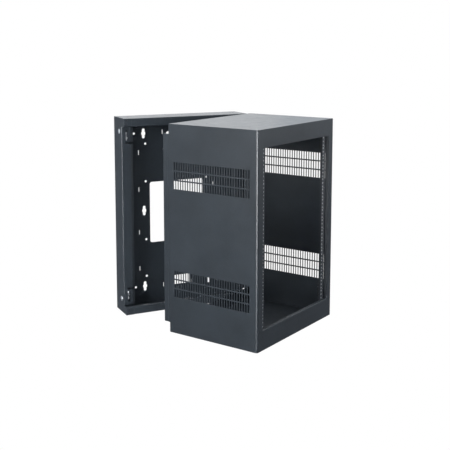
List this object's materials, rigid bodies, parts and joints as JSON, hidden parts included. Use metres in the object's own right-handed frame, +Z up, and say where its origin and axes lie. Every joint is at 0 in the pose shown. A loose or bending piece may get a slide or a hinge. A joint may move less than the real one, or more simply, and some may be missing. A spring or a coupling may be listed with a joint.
{
  "type": "wall mount network cabinet",
  "caption": "Black steel swing-out wall cabinet for 19 inch equipment: a wall pan with cable cut-outs and a vented centre section on gooseneck hinges, shown part open.",
  "frame": {"origin": "centre of the four wall holes, in the plane of the wall", "axes": "+X right seen from the front, +Y into the wall, +Z up"},
  "size_m": [0.8138, 0.7791, 0.864],
  "materials": {
    "black_powder_coat": "fine-textured black powder coat, satin",
    "black_rail_coat": "smooth black coat",
    "zinc_plate": "bright zinc plate",
    "black_screw": "black oxide"
  },
  "bodies": {
    "wall_pan": {"corner_plate_bottom_left": "black_powder_coat", "corner_plate_bottom_right": "black_powder_coat", "corner_plate_screws": "black_screw", "corner_plate_top_left": "black_powder_coat", "corner_plate_top_right": "black_powder_coat", "hinge_bracket_bottom": "black_rail_coat", "hinge_bracket_top": "black_rail_coat", "hinge_spring_bottom": "zinc_plate", "hinge_spring_top": "zinc_plate", "latch_bracket_bottom": "black_rail_coat", "latch_bracket_top": "black_rail_coat", "latch_spring_bottom": "zinc_plate", "latch_spring_top": "zinc_plate", "pan_bottom_flange": "black_powder_coat", "pan_ground_nut": "zinc_plate", "pan_ground_stud": "zinc_plate", "pan_left_side": "black_powder_coat", "pan_right_side": "black_powder_coat", "pan_top_flange": "black_powder_coat", "port_plugs": "zinc_plate", "wall_panel": "black_powder_coat"},
    "centre_section": {"bottom_bezel": "black_powder_coat", "bottom_panel": "black_powder_coat", "centre_ground_nut": "zinc_plate", "centre_ground_stud": "zinc_plate", "hinge_leaf_bottom": "black_rail_coat", "hinge_leaf_top": "black_rail_coat", "latch_tab_bottom": "black_rail_coat", "latch_tab_top": "black_rail_coat", "left_rack_rail": "black_rail_coat", "left_rail_bracket_bottom": "black_rail_coat", "left_rail_bracket_top": "black_rail_coat", "left_rear_strip": "black_powder_coat", "left_side_panel": "black_powder_coat", "rail_screws": "black_screw", "right_rack_rail": "black_rail_coat", "right_rail_bracket_bottom": "black_rail_coat", "right_rail_bracket_top": "black_rail_coat", "right_rear_strip": "black_powder_coat", "right_side_panel": "black_powder_coat", "top_bezel": "black_powder_coat", "top_panel": "black_powder_coat"},
    "hinge_plunger_bottom": {"hinge_plunger_bottom": "zinc_plate"},
    "hinge_plunger_top": {"hinge_plunger_top": "zinc_plate"},
    "latch_plunger_bottom": {"latch_plunger_bottom": "zinc_plate"},
    "latch_plunger_top": {"latch_plunger_top": "zinc_plate"}
  },
  "joints": [
    {"name": "swing", "type": "hinge", "parent": "wall_pan", "child": "centre_section", "pos_m": [0.285, -0.088, 0], "axis": [0, 0, 1], "range_deg": [-29, 65]},
    {"name": "hinge_pull_top", "type": "slide", "parent": "wall_pan", "child": "hinge_plunger_top", "axis": [0, 0, 1], "range_m": [0, 0.0095], "stiffness_N_per_m": 400, "springref_m": -0.004, "deforming": ["hinge_spring_top"]},
    {"name": "hinge_pull_bottom", "type": "slide", "parent": "wall_pan", "child": "hinge_plunger_bottom", "axis": [0, 0, -1], "range_m": [0, 0.0095], "stiffness_N_per_m": 400, "springref_m": -0.004, "deforming": ["hinge_spring_bottom"]},
    {"name": "latch_pull_top", "type": "slide", "parent": "wall_pan", "child": "latch_plunger_top", "axis": [0, 0, 1], "range_m": [-0.0095, 0], "stiffness_N_per_m": 400, "springref_m": -0.0135, "deforming": ["latch_spring_top"]},
    {"name": "latch_pull_bottom", "type": "slide", "parent": "wall_pan", "child": "latch_plunger_bottom", "axis": [0, 0, -1], "range_m": [-0.0095, 0], "stiffness_N_per_m": 400, "springref_m": -0.0135, "deforming": ["latch_spring_bottom"]}
  ]
}
